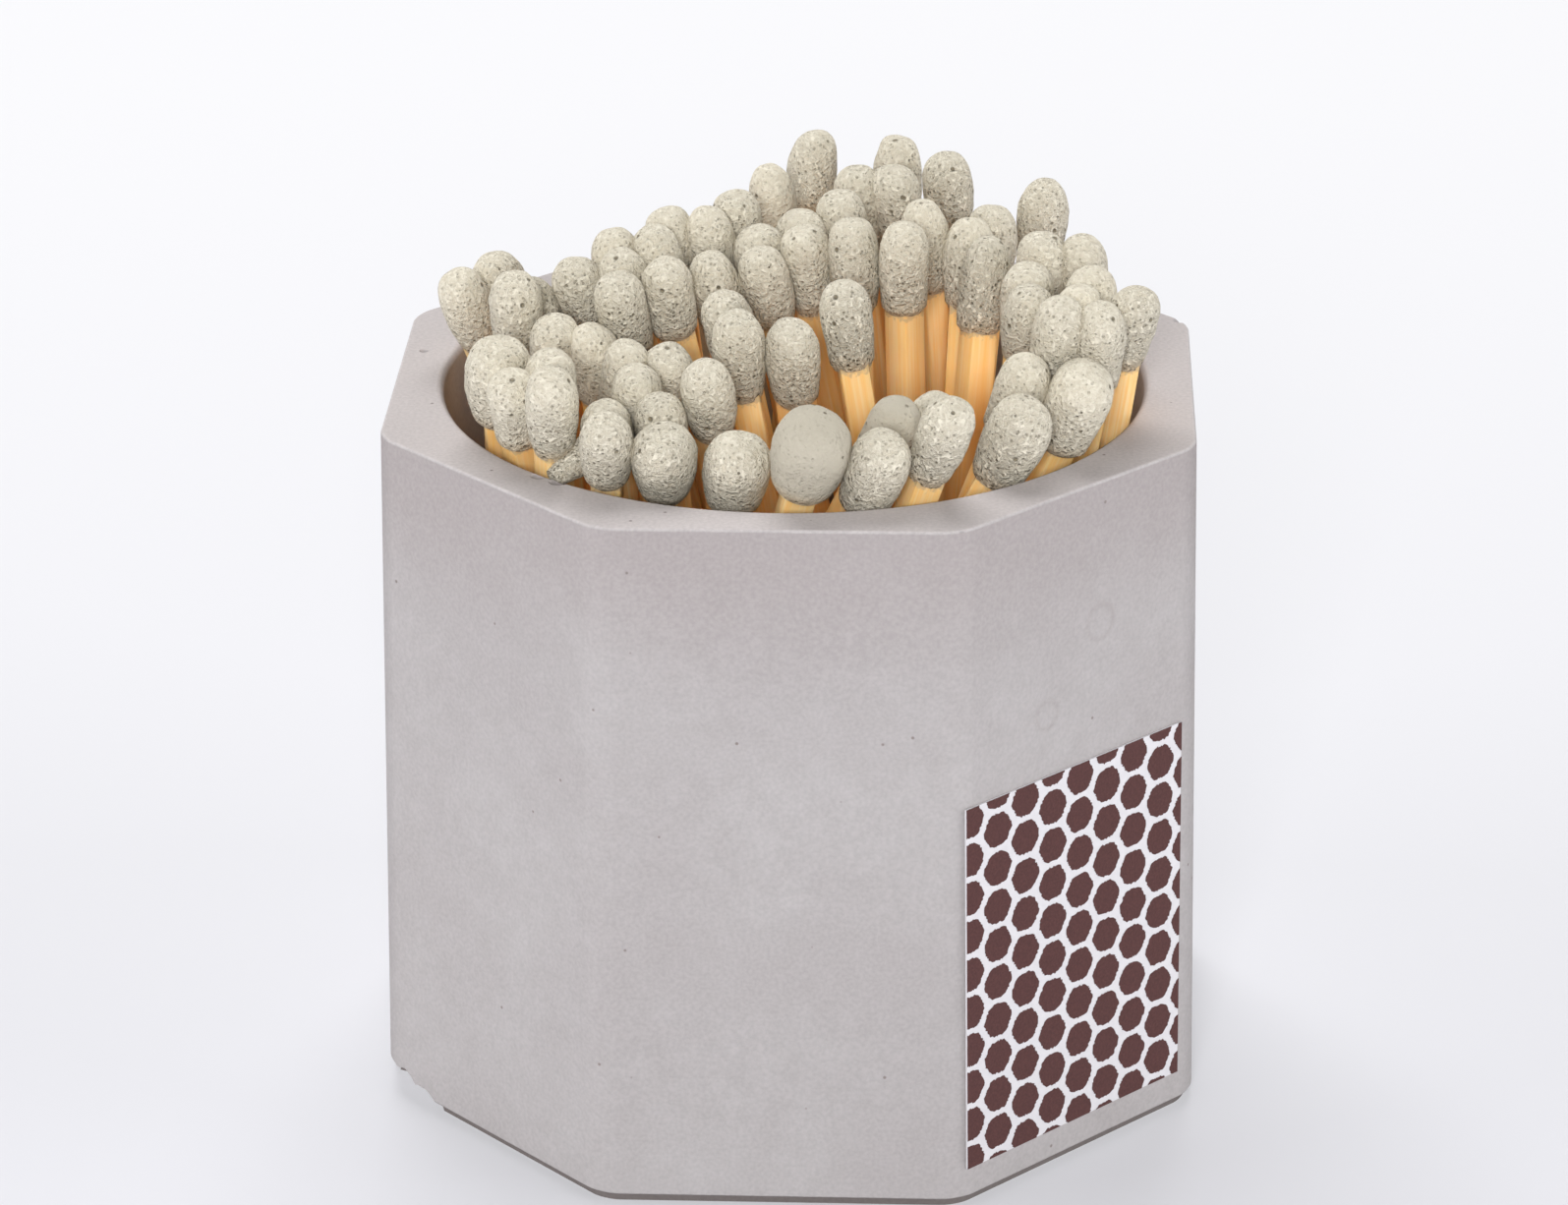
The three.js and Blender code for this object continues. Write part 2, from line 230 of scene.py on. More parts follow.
def spin_profile(bm, points, steps):
    """Spins points, each a distance from the axis and a height, round +Z."""
    profile = [bm.verts.new((out, 0, up)) for out, up in points]
    line = [bm.edges.new(pair) for pair in zip(profile, profile[1:])]
    bmesh.ops.spin(
        bm, geom=profile + line, cent=(0, 0, 0), axis=(0, 0, 1), dvec=(0, 0, 0), angle=2 * math.pi,
        steps=steps, use_merge=True)


# Rings left by bubbles against the mould: the middle, with its height from the rim, and the radius, in mm
BUBBLE_MARKS = [((19.64, -17.19, -9.3), 1.15), ((16.4, -20.5, -14.2), 0.9)]


def cast_concrete(pot):
    """Fine cement cast in a smooth mould: matt, clouded, with pin holes and pale worn edges. Shade is painted
    under the rim, at the foot and in the pin holes, and light on the rim's top and along the edges.
    """
    material, tree = new_material("cast_concrete")
    place = add(tree, "ShaderNodeTexCoord").outputs["Object"]
    from_rim = add(tree, "ShaderNodeVectorMath", {0: place, 1: (0, 0, pot.height)}, operation="SUBTRACT")
    mm = add(tree, "ShaderNodeMapping", {
        "Vector": from_rim.outputs["Vector"], "Scale": (1 / MM,) * 3}).outputs["Vector"]
    height = add(tree, "ShaderNodeSeparateXYZ", {"Vector": mm}).outputs["Z"]

    # Clouds about 12 mm wide, and a finer mottle of about 2 mm
    clouds = add(tree, "ShaderNodeTexNoise", {
        "Vector": mm, "Scale": 1 / 12, "Detail": 4.0, "Roughness": 0.55})
    mottle = add(tree, "ShaderNodeTexNoise", {
        "Vector": mm, "Scale": 1 / 2, "Detail": 5.0, "Roughness": 0.7})
    cloudy = add(tree, "ShaderNodeMapRange", {
        "Value": clouds.outputs["Fac"], "From Min": 0.35, "From Max": 0.65, "To Min": 0.0, "To Max": 1.0})
    colour = add(tree, "ShaderNodeMix", {
        0: cloudy.outputs["Result"], 6: linear("#aea9a9"), 7: list(pot.colour)}, data_type="RGBA")
    mottled = add(tree, "ShaderNodeMapRange", {
        "Value": mottle.outputs["Fac"], "From Min": 0.3, "From Max": 0.7, "To Min": 0.0, "To Max": 0.5})
    coats = [(mottled.outputs["Result"], "#a49f9e")]

    # Under the rim the sides are painted a little darker and pinker: painted shade
    rim_shade = add(tree, "ShaderNodeMapRange", {
        "Value": height, "From Min": -12.0, "From Max": -0.5, "To Min": 0.0, "To Max": 0.6},
        interpolation_type="SMOOTHSTEP")
    below = add(tree, "ShaderNodeMapRange", {
        "Value": height, "From Min": -0.2, "From Max": -0.05, "To Min": 1.0, "To Max": 0.0})
    rim_shade = add(tree, "ShaderNodeMath", {
        0: rim_shade.outputs["Result"], 1: below.outputs["Result"]}, operation="MULTIPLY")
    coats.append((rim_shade.outputs["Value"], "#a09796"))

    # The top of the rim is painted paler than the moulded sides: painted light from above
    painted_top_light = add(tree, "ShaderNodeMapRange", {
        "Value": height, "From Min": -0.12, "From Max": -0.03, "To Min": 0.0, "To Max": 1.0})
    coats.append((painted_top_light.outputs["Result"], "#c2bbba"))

    # Rubbed edges show pale cement, and a painted highlight runs along them
    edge_wear_and_highlight = add(tree, "ShaderNodeAttribute", attribute_name="wear").outputs["Fac"]
    patchy = add(tree, "ShaderNodeMapRange", {
        "Value": mottle.outputs["Fac"], "From Min": 0.3, "From Max": 0.6, "To Min": 0.1, "To Max": 0.7})
    pale_edge_share = add(tree, "ShaderNodeMath", {0: edge_wear_and_highlight, 1: patchy.outputs["Result"]}, operation="MULTIPLY")
    coats.append((pale_edge_share.outputs["Value"], "#c6c1c0"))

    # Pin holes about 0.2 mm wide, in one cell of 2.2 mm out of three. They are painted dark: painted shade in
    # the holes
    cells = add(tree, "ShaderNodeTexVoronoi", {"Vector": mm, "Scale": 1 / 2.2, "Randomness": 1.0})
    chance = add(tree, "ShaderNodeSeparateColor", {"Color": cells.outputs["Color"]}).outputs["Red"]
    chosen = add(tree, "ShaderNodeMath", {0: chance, 1: 0.65}, operation="GREATER_THAN")
    near = add(tree, "ShaderNodeMapRange", {
        "Value": cells.outputs["Distance"], "From Min": 0.03, "From Max": 0.06, "To Min": 1.0,
        "To Max": 0.0})
    hole = add(tree, "ShaderNodeMath", {
        0: near.outputs["Result"], 1: chosen.outputs["Value"]}, operation="MULTIPLY")
    coats.append((hole.outputs["Value"], "#8a817e"))

    # The set-in foot is painted dark: painted shade in the gap under the lower edge
    up = add(tree, "ShaderNodeSeparateXYZ", {"Vector": place}).outputs["Z"]
    foot = add(tree, "ShaderNodeMapRange", {
        "Value": up, "From Min": pot.foot_rise, "From Max": 1.3 * pot.foot_rise, "To Min": 0.85,
        "To Max": 0.0})
    coats.append((foot.outputs["Result"], "#5f5754"))

    # Faint rings where bubbles lay against the mould
    ring_sum = hole.outputs["Value"]
    for centre, radius in BUBBLE_MARKS:
        gap = add(tree, "ShaderNodeVectorMath", {0: mm, 1: centre}, operation="DISTANCE")
        off = add(tree, "ShaderNodeMath", {0: gap.outputs["Value"], 1: radius}, operation="SUBTRACT")
        far = add(tree, "ShaderNodeMath", {0: off.outputs["Value"]}, operation="ABSOLUTE")
        ring = add(tree, "ShaderNodeMapRange", {
            "Value": far.outputs["Value"], "From Min": 0.35, "From Max": 0.0, "To Min": 0.0, "To Max": 1.0},
            interpolation_type="SMOOTHSTEP")
        faint = add(tree, "ShaderNodeMath", {
            0: ring.outputs["Result"], 1: cloudy.outputs["Result"]}, operation="MULTIPLY")
        ring_sum = add(tree, "ShaderNodeMath", {0: ring_sum, 1: faint.outputs["Value"]}).outputs["Value"]
    stain = add(tree, "ShaderNodeMath", {0: ring_sum, 1: 0.28}, operation="MULTIPLY")
    coats.append((stain.outputs["Value"], "#8a807d"))

    # Each coat lies over those before it
    for share, tint in coats:
        colour = add(tree, "ShaderNodeMix", {
            0: share, 6: colour.outputs[2], 7: linear(tint)}, data_type="RGBA")

    # Sand grain of about 0.25 mm
    sand = add(tree, "ShaderNodeTexNoise", {"Vector": mm, "Scale": 1 / 0.25, "Detail": 2.0})
    grains = add(tree, "ShaderNodeMapRange", {
        "Value": sand.outputs["Fac"], "From Min": 0.3, "From Max": 0.7, "To Min": 0.93, "To Max": 1.07})
    colour = add(tree, "ShaderNodeMix", {
        0: 1.0, 6: colour.outputs[2], 7: grains.outputs["Result"]}, data_type="RGBA", blend_type="MULTIPLY")
    relief = add(tree, "ShaderNodeMath", {
        0: sand.outputs["Fac"], 1: ring_sum}, operation="SUBTRACT")
    relief = add(tree, "ShaderNodeMath", {
        0: clouds.outputs["Fac"], 1: 3.0, 2: relief.outputs["Value"]}, operation="MULTIPLY_ADD")
    bump = add(tree, "ShaderNodeBump", {
        "Height": relief.outputs["Value"], "Strength": 0.35, "Distance": 0.05 * MM})
    shader = add(tree, "ShaderNodeBsdfPrincipled", {
        "Base Color": colour.outputs[2], "Roughness": 0.88, "IOR": 1.5, "Specular IOR Level": 0.25,
        "Normal": bump.outputs["Normal"]})
    add(tree, "ShaderNodeOutputMaterial", {"Surface": shader.outputs["BSDF"]})
    return material


def label_paper(patch):
    """Coated label paper: white, with a soft sheen."""
    material, tree = new_material("label_paper")
    mm = place_in_mm(tree)
    # Fibres clump at about 0.5 mm
    fibres = add(tree, "ShaderNodeTexNoise", {"Vector": mm, "Scale": 1 / 0.5, "Detail": 4.0})
    colour = add(tree, "ShaderNodeMix", {
        0: fibres.outputs["Fac"], 6: list(patch.paper), 7: linear("#d1cfd3")}, data_type="RGBA")
    bump = add(tree, "ShaderNodeBump", {
        "Height": fibres.outputs["Fac"], "Strength": 0.2, "Distance": 0.02 * MM})
    shader = add(tree, "ShaderNodeBsdfPrincipled", {
        "Base Color": colour.outputs[2], "Roughness": 0.6, "Normal": bump.outputs["Normal"]})
    add(tree, "ShaderNodeOutputMaterial", {"Surface": shader.outputs["BSDF"]})
    return material


def striking_compound(patch):
    """Printed striking compound: red-brown binder full of fine glass powder, so matt and speckled."""
    material, tree = new_material("striking_compound")
    mm = place_in_mm(tree)
    # Powder of 0.1 mm is drawn at 0.16 mm, so that it shows
    powder = add(tree, "ShaderNodeTexNoise", {
        "Vector": mm, "Scale": 1 / 0.16, "Detail": 3.0, "Roughness": 0.7})
    speck = add(tree, "ShaderNodeMapRange", {
        "Value": powder.outputs["Fac"], "From Min": 0.3, "From Max": 0.72, "To Min": 0.0, "To Max": 1.0})
    colour = add(tree, "ShaderNodeMix", {
        0: speck.outputs["Result"], 6: linear("#391f1e"), 7: linear("#5c3533")}, data_type="RGBA")
    colour = add(tree, "ShaderNodeMix", {
        0: 0.45, 6: colour.outputs[2], 7: list(patch.compound)}, data_type="RGBA")
    bump = add(tree, "ShaderNodeBump", {
        "Height": powder.outputs["Fac"], "Strength": 0.5, "Distance": 0.03 * MM})
    shader = add(tree, "ShaderNodeBsdfPrincipled", {
        "Base Color": colour.outputs[2], "Roughness": 0.85, "Normal": bump.outputs["Normal"]})
    add(tree, "ShaderNodeOutputMaterial", {"Surface": shader.outputs["BSDF"]})
    return material


def aspen(matches):
    """Split aspen veneer: pale straw with fine long fibres, some sticks warmer than others."""
    material, tree = new_material("aspen")
    grain = add(tree, "ShaderNodeAttribute", attribute_name="grain").outputs["Vector"]
    warmth = add(tree, "ShaderNodeAttribute", attribute_name="warmth").outputs["Fac"]
    dip = add(tree, "ShaderNodeAttribute", attribute_name="dip").outputs["Fac"]
    # Fibres about 0.2 mm wide and 8 mm long, over growth bands about 0.9 mm wide
    along = add(tree, "ShaderNodeMapping", {"Vector": grain, "Scale": (1 / 0.2, 1 / 0.2, 1 / 8)})
    fibres = add(tree, "ShaderNodeTexNoise", {
        "Vector": along.outputs["Vector"], "Scale": 1.0, "Detail": 4.0, "Roughness": 0.65})
    broad = add(tree, "ShaderNodeMapping", {"Vector": grain, "Scale": (1 / 0.9, 1 / 0.9, 1 / 25)})
    bands = add(tree, "ShaderNodeTexNoise", {"Vector": broad.outputs["Vector"], "Scale": 1.0, "Detail": 2.0})
    streak = add(tree, "ShaderNodeMapRange", {
        "Value": fibres.outputs["Fac"], "From Min": 0.32, "From Max": 0.7, "To Min": 0.0, "To Max": 1.0})
    colour = add(tree, "ShaderNodeMix", {
        0: streak.outputs["Result"], 6: linear("#ffca7e"), 7: list(matches.wood)}, data_type="RGBA")
    band = add(tree, "ShaderNodeMapRange", {
        "Value": bands.outputs["Fac"], "From Min": 0.4, "From Max": 0.65, "To Min": 0.0, "To Max": 0.4})
    colour = add(tree, "ShaderNodeMix", {
        0: band.outputs["Result"], 6: colour.outputs[2], 7: linear("#ffc470")}, data_type="RGBA")
    colour = add(tree, "ShaderNodeMix", {
        0: warmth, 6: colour.outputs[2], 7: linear("#ffc062")}, data_type="RGBA")
    # The dip's edge stains the wood tan, in specks over about half a millimetre
    specks = add(tree, "ShaderNodeTexNoise", {"Vector": grain, "Scale": 1 / 0.25, "Detail": 2.0})
    edge = add(tree, "ShaderNodeMath", {0: specks.outputs["Fac"], 1: 1.2, 2: dip}, operation="MULTIPLY_ADD")
    coated = add(tree, "ShaderNodeMapRange", {
        "Value": edge.outputs["Value"], "From Min": 0.25, "From Max": 0.5, "To Min": 0.0, "To Max": 1.0})
    colour = add(tree, "ShaderNodeMix", {
        0: coated.outputs["Result"], 6: colour.outputs[2], 7: linear("#dcb989")}, data_type="RGBA")
    bump = add(tree, "ShaderNodeBump", {
        "Height": fibres.outputs["Fac"], "Strength": 0.35, "Distance": 0.06 * MM})
    shader = add(tree, "ShaderNodeBsdfPrincipled", {
        "Base Color": colour.outputs[2], "Roughness": 0.62, "Specular IOR Level": 0.3,
        "Subsurface Weight": 0.3, "Subsurface Radius": (1.0, 0.6, 0.3), "Subsurface Scale": 0.8 * MM,
        "Normal": bump.outputs["Normal"]})
    add(tree, "ShaderNodeOutputMaterial", {"Surface": shader.outputs["BSDF"]})
    return material


def pores(tree, grain, cell, least, most):
    """One round pore in each cell: how deep a point lies in it, from 0 to 1. All three sizes are in mm."""
    cells = add(tree, "ShaderNodeTexVoronoi", {"Vector": grain, "Scale": 1 / cell, "Randomness": 1.0})
    chance = add(tree, "ShaderNodeSeparateColor", {"Color": cells.outputs["Color"]}).outputs["Red"]
    radius = add(tree, "ShaderNodeMapRange", {"Value": chance, "To Min": least / cell, "To Max": most / cell})
    share = add(tree, "ShaderNodeMath", {
        0: cells.outputs["Distance"], 1: radius.outputs["Result"]}, operation="DIVIDE")
    return add(tree, "ShaderNodeMapRange", {
        "Value": share.outputs["Value"], "From Min": 0.4, "From Max": 1.1, "To Min": 1.0, "To Max": 0.0},
        interpolation_type="SMOOTHSTEP").outputs["Result"]


def dipped_compound(matches):
    """Dried match dip: grey-beige glue and mineral powder, foamy, so full of pores, more so lower down."""
    material, tree = new_material("dipped_compound")
    grain = add(tree, "ShaderNodeAttribute", attribute_name="grain").outputs["Vector"]
    foam = add(tree, "ShaderNodeAttribute", attribute_name="foam").outputs["Fac"]
    dip = add(tree, "ShaderNodeAttribute", attribute_name="dip").outputs["Fac"]
    lower = add(tree, "ShaderNodeMapRange", {
        "Value": dip, "From Min": 1.0, "From Max": 5.5, "To Min": 1.0, "To Max": 0.4})
    coarse = add(tree, "ShaderNodeMath", {
        0: lower.outputs["Result"], 1: foam}, operation="MULTIPLY").outputs["Value"]

    # Lumps of about 0.8 mm, and pumice wrinkles of about 0.3 mm
    lumps = add(tree, "ShaderNodeTexNoise", {"Vector": grain, "Scale": 1 / 0.8, "Detail": 2.0})
    pumice = add(tree, "ShaderNodeTexNoise", {
        "Vector": grain, "Scale": 1 / 0.3, "Detail": 3.0, "Roughness": 0.65})
    # The wrinkles' hollows are painted a little darker, partly as painted shade and partly as a mottled tone
    shade = add(tree, "ShaderNodeMapRange", {
        "Value": pumice.outputs["Fac"], "From Min": 0.36, "From Max": 0.6, "To Min": 1.0, "To Max": 0.0})
    colour = add(tree, "ShaderNodeMix", {
        0: shade.outputs["Result"], 6: list(matches.dip), 7: linear("#d8cfbb")}, data_type="RGBA")
    # A head that dried nearly without pores is greyer
    dense = add(tree, "ShaderNodeMapRange", {
        "Value": foam, "From Min": SMOOTH_FOAM, "From Max": 0.6, "To Min": 1.0, "To Max": 0.0})
    colour = add(tree, "ShaderNodeMix", {
        0: dense.outputs["Result"], 6: colour.outputs[2], 7: linear("#bcb5a5")}, data_type="RGBA")
    # Thin and tan at its lower edge, where the wood soaked it up
    soaked = add(tree, "ShaderNodeMapRange", {
        "Value": dip, "From Min": 0.0, "From Max": 1.2, "To Min": 0.6, "To Max": 0.0})
    colour = add(tree, "ShaderNodeMix", {
        0: soaked.outputs["Result"], 6: colour.outputs[2], 7: linear("#cdb088")}, data_type="RGBA")
    wrinkle = add(tree, "ShaderNodeMath", {
        0: shade.outputs["Result"], 1: coarse}, operation="MULTIPLY").outputs["Value"]

    # Pores: many of 0.1 to 0.25 mm, and a few of up to 0.4 mm, painted dark as painted shade in the pits
    many = pores(tree, grain, 0.32, 0.04, 0.12)
    few = pores(tree, grain, 1.0, 0.0, 0.2)
    weak = add(tree, "ShaderNodeMath", {0: many, 1: coarse}, operation="MULTIPLY")
    hole = add(tree, "ShaderNodeMath", {
        0: weak.outputs["Value"], 1: few}, operation="MAXIMUM").outputs["Value"]
    dark = add(tree, "ShaderNodeMath", {0: hole, 1: 0.85}, operation="MULTIPLY")
    colour = add(tree, "ShaderNodeMix", {
        0: dark.outputs["Value"], 6: colour.outputs[2], 7: linear("#82775e")}, data_type="RGBA")

    # The grain and the pores are sunk in, and the lumps stand out
    relief = add(tree, "ShaderNodeMath", {
        0: wrinkle, 1: -1.2, 2: lumps.outputs["Fac"]}, operation="MULTIPLY_ADD")
    relief = add(tree, "ShaderNodeMath", {
        0: hole, 1: -1.2, 2: relief.outputs["Value"]}, operation="MULTIPLY_ADD")
    bump = add(tree, "ShaderNodeBump", {
        "Height": relief.outputs["Value"], "Strength": 1.0, "Distance": 0.2 * MM})
    shader = add(tree, "ShaderNodeBsdfPrincipled", {
        "Base Color": colour.outputs[2], "Roughness": 0.8, "Specular IOR Level": 0.25,
        "Normal": bump.outputs["Normal"]})
    add(tree, "ShaderNodeOutputMaterial", {"Surface": shader.outputs["BSDF"]})
    return material


# Places where the pot has lost a flake, at the base and at the rim: the middle of the bite, with its height
# from the bench or from the rim, and its radius, in mm
BASE_CHIPS = [((-26.9, -11.0, -0.1), 2.3), ((-25.5, -12.3, -0.5), 2.4), ((-24.0, -13.8, -0.9), 2.1)]
RIM_CHIPS = [
    ((-14.9, -17.3, 0.5), 0.75), ((-13.7, -18.2, 0.5), 0.8), ((-13.4, 22.6, 0.6), 0.9),
    ((-11.4, 24.9, 0.7), 0.9), ((-15.6, 21.3, 0.7), 0.8), ((25.1, 11.4, 0.6), 0.9),
    ((-25.7, -10.2, 0.2), 0.35), ((25.6, -9.8, 0.2), 0.35), ((11.2, -25.4, 0.1), 0.4),
    ((-24.2, 4.1, 0.15), 0.35),
]


def chip_cutter(pot):
    """Lumpy balls that bite flakes out of the pot's edges."""
    lump_width, lump_share = 1.3 * MM, 0.1
    roughness, lacunarity, octaves = 0.9, 2.1, 2
    bm = bmesh.new()
    rim = Vector((0, 0, pot.height))
    bites = [(Vector(place) * MM, radius) for place, radius in BASE_CHIPS]
    bites += [(Vector(place) * MM + rim, radius) for place, radius in RIM_CHIPS]
    for index, (place, radius) in enumerate(bites):
        ball = bmesh.ops.create_icosphere(bm, subdivisions=4, radius=radius * MM)
        own_place = Vector((index * 7, 3, 1))
        for vert in ball["verts"]:
            rough = noise.fractal(vert.co / lump_width + own_place, roughness, lacunarity, octaves)
            vert.co *= 1 + lump_share * rough
        bmesh.ops.translate(bm, verts=ball["verts"], vec=place)
    return finish_piece("chip_cutter", bm, [], math.radians(30))


def pot_blank(pot):
    """The solid octagon with its draft, round arrises, softened edges and set-in foot."""
    foot_inset = 0.3 * MM
    bm = bmesh.new()
    bmesh.ops.create_cube(bm, size=1.0)
    bmesh.ops.scale(bm, vec=(pot.rim_width, pot.rim_width, pot.height - pot.foot_rise), verts=bm.verts)
    bmesh.ops.translate(bm, vec=(0, 0, (pot.height + pot.foot_rise) / 2), verts=bm.verts)
    corner = (pot.rim_width - pot.facet_width) / 2
    bmesh.ops.bevel(
        bm, geom=upright_edges(bm), offset=corner, affect="EDGES", segments=1, profile=0.5, material=-1)
    low = [v for v in bm.verts if v.co.z < pot.height / 2]
    grow = pot.base_width / pot.rim_width
    bmesh.ops.scale(bm, vec=(grow, grow, 1), verts=low)
    arris = pot.arris_radius * math.tan(math.pi / 8)
    bmesh.ops.bevel(
        bm, geom=upright_edges(bm), offset=arris, affect="EDGES", segments=6, profile=0.5, material=-1)
    outline = [e for e in bm.edges if abs(e.verts[0].co.z - e.verts[1].co.z) < pot.edge_radius]
    bmesh.ops.bevel(
        bm, geom=outline, offset=pot.edge_radius, affect="EDGES", segments=4, profile=0.5, material=-1)
    under = min(bm.faces, key=lambda face: face.calc_center_median().z - face.calc_area())
    bmesh.ops.inset_region(bm, faces=[under], thickness=foot_inset)
    foot = bmesh.ops.extrude_face_region(bm, geom=[under])["geom"]
    foot_verts = [g for g in foot if isinstance(g, bmesh.types.BMVert)]
    bmesh.ops.delete(bm, geom=[under], context="FACES_ONLY")
    bmesh.ops.translate(bm, vec=(0, 0, -pot.foot_rise), verts=foot_verts)
    return bm


def upright_edges(bm):
    """Edges that run from the bench to the rim."""
    least_rise = 10 * MM
    return [e for e in bm.edges if abs(e.verts[0].co.z - e.verts[1].co.z) > least_rise]


def bore_profile(pot):
    """Points down the bore from its rounded mouth to the middle of its floor."""
    mouth, fillet = 0.5 * MM, 1.0 * MM
    floor = pot.height - pot.bore_depth
    quarter = [k * math.pi / 8 for k in range(5)]
    points = []
    for angle in quarter:
        out = pot.bore_radius + mouth * (1 - math.sin(angle))
        points.append((out, pot.height - mouth * (1 - math.cos(angle))))
    for angle in quarter:
        out = pot.bore_radius - fillet * (1 - math.cos(angle))
        points.append((out, floor + fillet * (1 - math.sin(angle))))
    points.append((0.0, floor))
    return points


def open_bore(bm, pot):
    """Cuts the round bore into the octagon's top."""
    sides = 128
    top = max(bm.faces, key=lambda face: face.calc_center_median().z + face.calc_area())
    bmesh.ops.delete(bm, geom=[top], context="FACES_ONLY")
    outer = [e for e in bm.edges if e.is_boundary]
    spin_profile(bm, bore_profile(pot), sides)
    bmesh.ops.remove_doubles(bm, verts=bm.verts, dist=WELD)
    mouth = [e for e in bm.edges if e.is_boundary and e not in outer]
    bmesh.ops.triangle_fill(bm, use_beauty=True, use_dissolve=False, edges=outer + mouth)
    bmesh.ops.recalc_face_normals(bm, faces=bm.faces)


def mark_wear_and_highlight(bm, pot):
    """Marks the middle of the rim's and the base's soft edges, which handling rubs pale and which carry a
    painted highlight.
    """
    wear = bm.verts.layers.float.new("wear")
    soft, mouth_room = pot.edge_radius, 0.7 * MM
    for vert in bm.verts:
        outside = vert.co.to_2d().length > pot.bore_radius + mouth_room
        from_rim = pot.height - vert.co.z
        from_base = vert.co.z - pot.foot_rise
        on_edge = 0.1 * soft < from_rim < 0.9 * soft or 0.1 * soft < from_base < 0.9 * soft
        vert[wear] = 1.0 if outside and on_edge else 0.0


class MATCHHOLDER_OT_pot(bpy.types.Operator):
    """Models the cast concrete pot with its bore and chipped edges"""

    bl_idname = "match_holder.pot"
    bl_label = "Pot"

    def execute(self, context):
        pot = settings("pot")
        bm = pot_blank(pot)
        open_bore(bm, pot)
        mark_wear_and_highlight(bm, pot)
        blank = finish_piece("pot_blank", bm, [], math.radians(30))
        cutter = chip_cutter(pot)
        bite = blank.modifiers.new("chips", "BOOLEAN")
        bite.object = cutter
        bite.solver = "EXACT"
        bite.use_self = True
        carved = blank.evaluated_get(context.evaluated_depsgraph_get())
        bm = bmesh.new()
        bm.from_mesh(bpy.data.meshes.new_from_object(carved))
        bpy.data.objects.remove(blank)
        bpy.data.objects.remove(cutter)
        piece = finish_piece("concrete_pot", bm, [cast_concrete(pot)], math.radians(28))
        even = piece.modifiers.new("even_shading", "WEIGHTED_NORMAL")
        even.keep_sharp = True
        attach(piece, "pot")
        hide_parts("pot")
        return {"FINISHED"}


def make_dot(patch, chance):
    """A printed dot in a bmesh of its own: a soft-cornered hexagon with a ragged edge."""
    corner, least_side, ragged = 0.3 * MM, 0.4 * MM, 0.055
    bm = bmesh.new()
    bmesh.ops.create_circle(
        bm, cap_ends=True, segments=6, radius=patch.dot_width / 2 / math.cos(math.pi / 6))
    bmesh.ops.rotate(bm, cent=(0, 0, 0), matrix=Matrix.Rotation(math.pi / 6, 3, "Z"), verts=bm.verts)
    bmesh.ops.bevel(
        bm, geom=list(bm.verts), offset=corner, affect="VERTICES", segments=3, profile=0.5, material=-1)
    sides = [e for e in bm.edges if e.calc_length() > least_side]
    bmesh.ops.subdivide_edges(bm, edges=sides, cuts=7)
    for vert in bm.verts:
        vert.co *= 1 + chance.uniform(-ragged, ragged)
    return bm


def trim_to_label(bm, patch):
    """Cuts a dot off at the label's edges."""
    half = patch.width / 2
    planes = [
        ((-half, 0, 0), (-1, 0, 0)), ((half, 0, 0), (1, 0, 0)),
        ((0, 0, 0), (0, -1, 0)), ((0, patch.height, 0), (0, 1, 0)),
    ]
    for point, way in planes:
        geom = list(bm.verts) + list(bm.edges) + list(bm.faces)
        bmesh.ops.bisect_plane(bm, geom=geom, plane_co=point, plane_no=way, clear_outer=True)


DOT_SEED = 3  # start of the chance differences between dots


def print_dots(label, patch, paper_thickness):
    """Prints the staggered columns of dots on the label, cut off at its edges."""
    chance = random.Random(DOT_SEED)
    print_thickness, first_across, first_up = 0.03 * MM, 0.28 * MM, 0.45 * MM
    columns = math.ceil(patch.width / patch.column_pitch) + 1
    rows = math.ceil(patch.height / patch.row_pitch) + 1
    for column, row in itertools.product(range(columns), range(rows)):
        across = -patch.width / 2 + column * patch.column_pitch + first_across
        up = (row - 1 + 0.5 * (column % 2)) * patch.row_pitch + first_up
        dot = make_dot(patch, chance)
        bmesh.ops.translate(dot, vec=(across, up, 0), verts=dot.verts)
        trim_to_label(dot, patch)
        faces = list(dot.faces)
        if not faces:
            dot.free()
            continue
        grown = bmesh.ops.extrude_face_region(dot, geom=faces)
        raised = [g for g in grown["geom"] if isinstance(g, bmesh.types.BMVert)]
        bmesh.ops.translate(dot, vec=(0, 0, print_thickness), verts=raised)
        bmesh.ops.translate(dot, vec=(0, 0, paper_thickness), verts=dot.verts)
        bmesh.ops.recalc_face_normals(dot, faces=dot.faces)
        for face in dot.faces:
            face.material_index = 1
        join(label, dot)


class MATCHHOLDER_OT_patch(bpy.types.Operator):
    """Models the striking patch: a paper label with printed dots of striking compound"""

    bl_idname = "match_holder.patch"
    bl_label = "Striking patch"

    def execute(self, context):
        patch, pot = settings("patch"), settings("pot")
        paper_thickness, glue = 0.14 * MM, 0.03 * MM
        label = bmesh.new()
        bmesh.ops.create_cube(label, size=1.0)
        bmesh.ops.scale(label, vec=(patch.width, patch.height, paper_thickness), verts=label.verts)
        bmesh.ops.translate(label, vec=(0, patch.height / 2, paper_thickness / 2), verts=label.verts)
        print_dots(label, patch, paper_thickness)
        bmesh.ops.transform(label, matrix=facet_place(pot, patch, glue), verts=label.verts)
        materials = [label_paper(patch), striking_compound(patch)]
        piece = finish_piece("striking_label", label, materials, math.radians(30))
        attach(piece, "pot")
        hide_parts("striking_patch")
        return {"FINISHED"}


